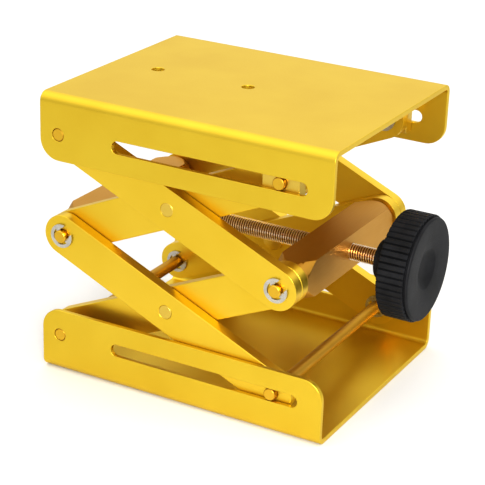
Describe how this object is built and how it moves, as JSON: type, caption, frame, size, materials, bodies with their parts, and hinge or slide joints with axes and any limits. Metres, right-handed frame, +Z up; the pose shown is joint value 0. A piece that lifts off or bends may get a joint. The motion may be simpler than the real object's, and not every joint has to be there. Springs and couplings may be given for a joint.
{
  "type": "scissor lift table",
  "caption": "Small hand-cranked scissor lift table: a knob turns a lead screw that folds crossed flat arms between two bent channels and raises the flat top.",
  "frame": {"origin": "middle of the whole object's footprint (channels, screw end and knob), on the floor under the base plate", "axes": "+X along the channels and the lead screw towards the knob, +Y from the front flanges to the rear ones, +Z up"},
  "size_m": [0.1406, 0.1, 0.1127],
  "materials": {
    "channel_sheet": "gold anodised over bead blasting, satin",
    "arm_bar": "gold anodised over bead blasting, satin",
    "block_bar": "gold anodised, milled, satin",
    "rod": "gold anodised, drawn and turned",
    "rivet": "gold anodised, flush",
    "slider": "gold anodised, milled",
    "screw": "yellow passivated, cut thread",
    "insert": "turned",
    "washer": "white nylon",
    "knob_plastic": "black, moulded, fine satin",
    "clip_steel": "bright plated, stamped"
  },
  "bodies": {
    "base": {"base_channel": "channel_sheet", "base_fixed_rod": "rod", "base_bushes": "rod", "base_rod_clips": "clip_steel"},
    "lower_inner_arms": {"lower_inner_arm_front": "arm_bar", "lower_inner_arm_rear": "arm_bar"},
    "lower_outer_arms": {"lower_outer_arm_front": "arm_bar", "lower_outer_arm_rear": "arm_bar", "lower_rivets": "rivet", "base_slide_rod": "rod", "base_slide_clips": "clip_steel"},
    "left_block": {"left_block": "block_bar", "left_block_clips": "clip_steel"},
    "screw": {"lead_screw": "screw", "thrust_washers": "washer", "screw_clip": "clip_steel", "knob": "knob_plastic", "knob_insert": "insert", "knob_set_screw": "clip_steel"},
    "right_block": {"right_block": "block_bar", "right_block_clips": "clip_steel"},
    "upper_outer_arms": {"upper_outer_arm_front": "arm_bar", "upper_outer_arm_rear": "arm_bar", "upper_rivets": "rivet"},
    "top": {"top_channel": "channel_sheet", "top_fixed_rod": "rod", "top_rod_clips": "clip_steel"},
    "upper_inner_arms": {"upper_inner_arm_front": "arm_bar", "upper_inner_arm_rear": "arm_bar", "top_slide_rod": "rod", "top_slide_clips": "clip_steel"},
    "sliders": {"slider_front": "slider", "slider_rear": "slider"}
  },
  "joints": [
    {"name": "lift", "type": "hinge", "parent": "base", "child": "lower_inner_arms", "pos_m": [-0.06065, 0, 0.01535], "axis": [0, -1, 0], "range_deg": [-14.32, 50.1]},
    {"name": "lower_cross", "type": "hinge", "parent": "lower_inner_arms", "child": "lower_outer_arms", "pos_m": [-0.01438, 0, 0.03585], "axis": [0, -1, 0], "range_deg": [-100.25, 28.7]},
    {"name": "left_block_turn", "type": "hinge", "parent": "lower_outer_arms", "child": "left_block", "pos_m": [-0.06065, 0, 0.05635], "axis": [0, -1, 0], "range_deg": [-14.37, 50.15]},
    {"name": "screw_turn", "type": "hinge", "parent": "left_block", "child": "screw", "pos_m": [-0.06065, 0, 0.05635], "axis": [1, 0, 0], "continuous": true},
    {"name": "right_block_turn", "type": "hinge", "parent": "lower_inner_arms", "child": "right_block", "pos_m": [0.03188, 0, 0.05635], "axis": [0, -1, 0], "range_deg": [-50.15, 14.37]},
    {"name": "middle_right", "type": "hinge", "parent": "lower_inner_arms", "child": "upper_outer_arms", "pos_m": [0.03188, 0, 0.05635], "axis": [0, -1, 0], "range_deg": [-100.25, 28.7]},
    {"name": "top_pivot", "type": "hinge", "parent": "upper_outer_arms", "child": "top", "pos_m": [-0.06065, 0, 0.09736], "axis": [0, -1, 0], "range_deg": [-14.37, 50.15]},
    {"name": "upper_cross", "type": "hinge", "parent": "upper_outer_arms", "child": "upper_inner_arms", "pos_m": [-0.01438, 0, 0.07686], "axis": [0, -1, 0], "range_deg": [-28.7, 100.25]},
    {"name": "slider_turn", "type": "hinge", "parent": "upper_inner_arms", "child": "sliders", "pos_m": [0.03188, 0, 0.09736], "axis": [0, -1, 0], "range_deg": [-50.15, 14.37]}
  ],
  "couplings": [
    {"joint": "lower_cross", "follows": "lift", "ratio": -2},
    {"joint": "left_block_turn", "follows": "lift", "ratio": 1},
    {"joint": "right_block_turn", "follows": "lift", "ratio": -1},
    {"joint": "middle_right", "follows": "lift", "ratio": -2},
    {"joint": "top_pivot", "follows": "lift", "ratio": 1},
    {"joint": "upper_cross", "follows": "lift", "ratio": 2},
    {"joint": "slider_turn", "follows": "lift", "ratio": -1}
  ]
}
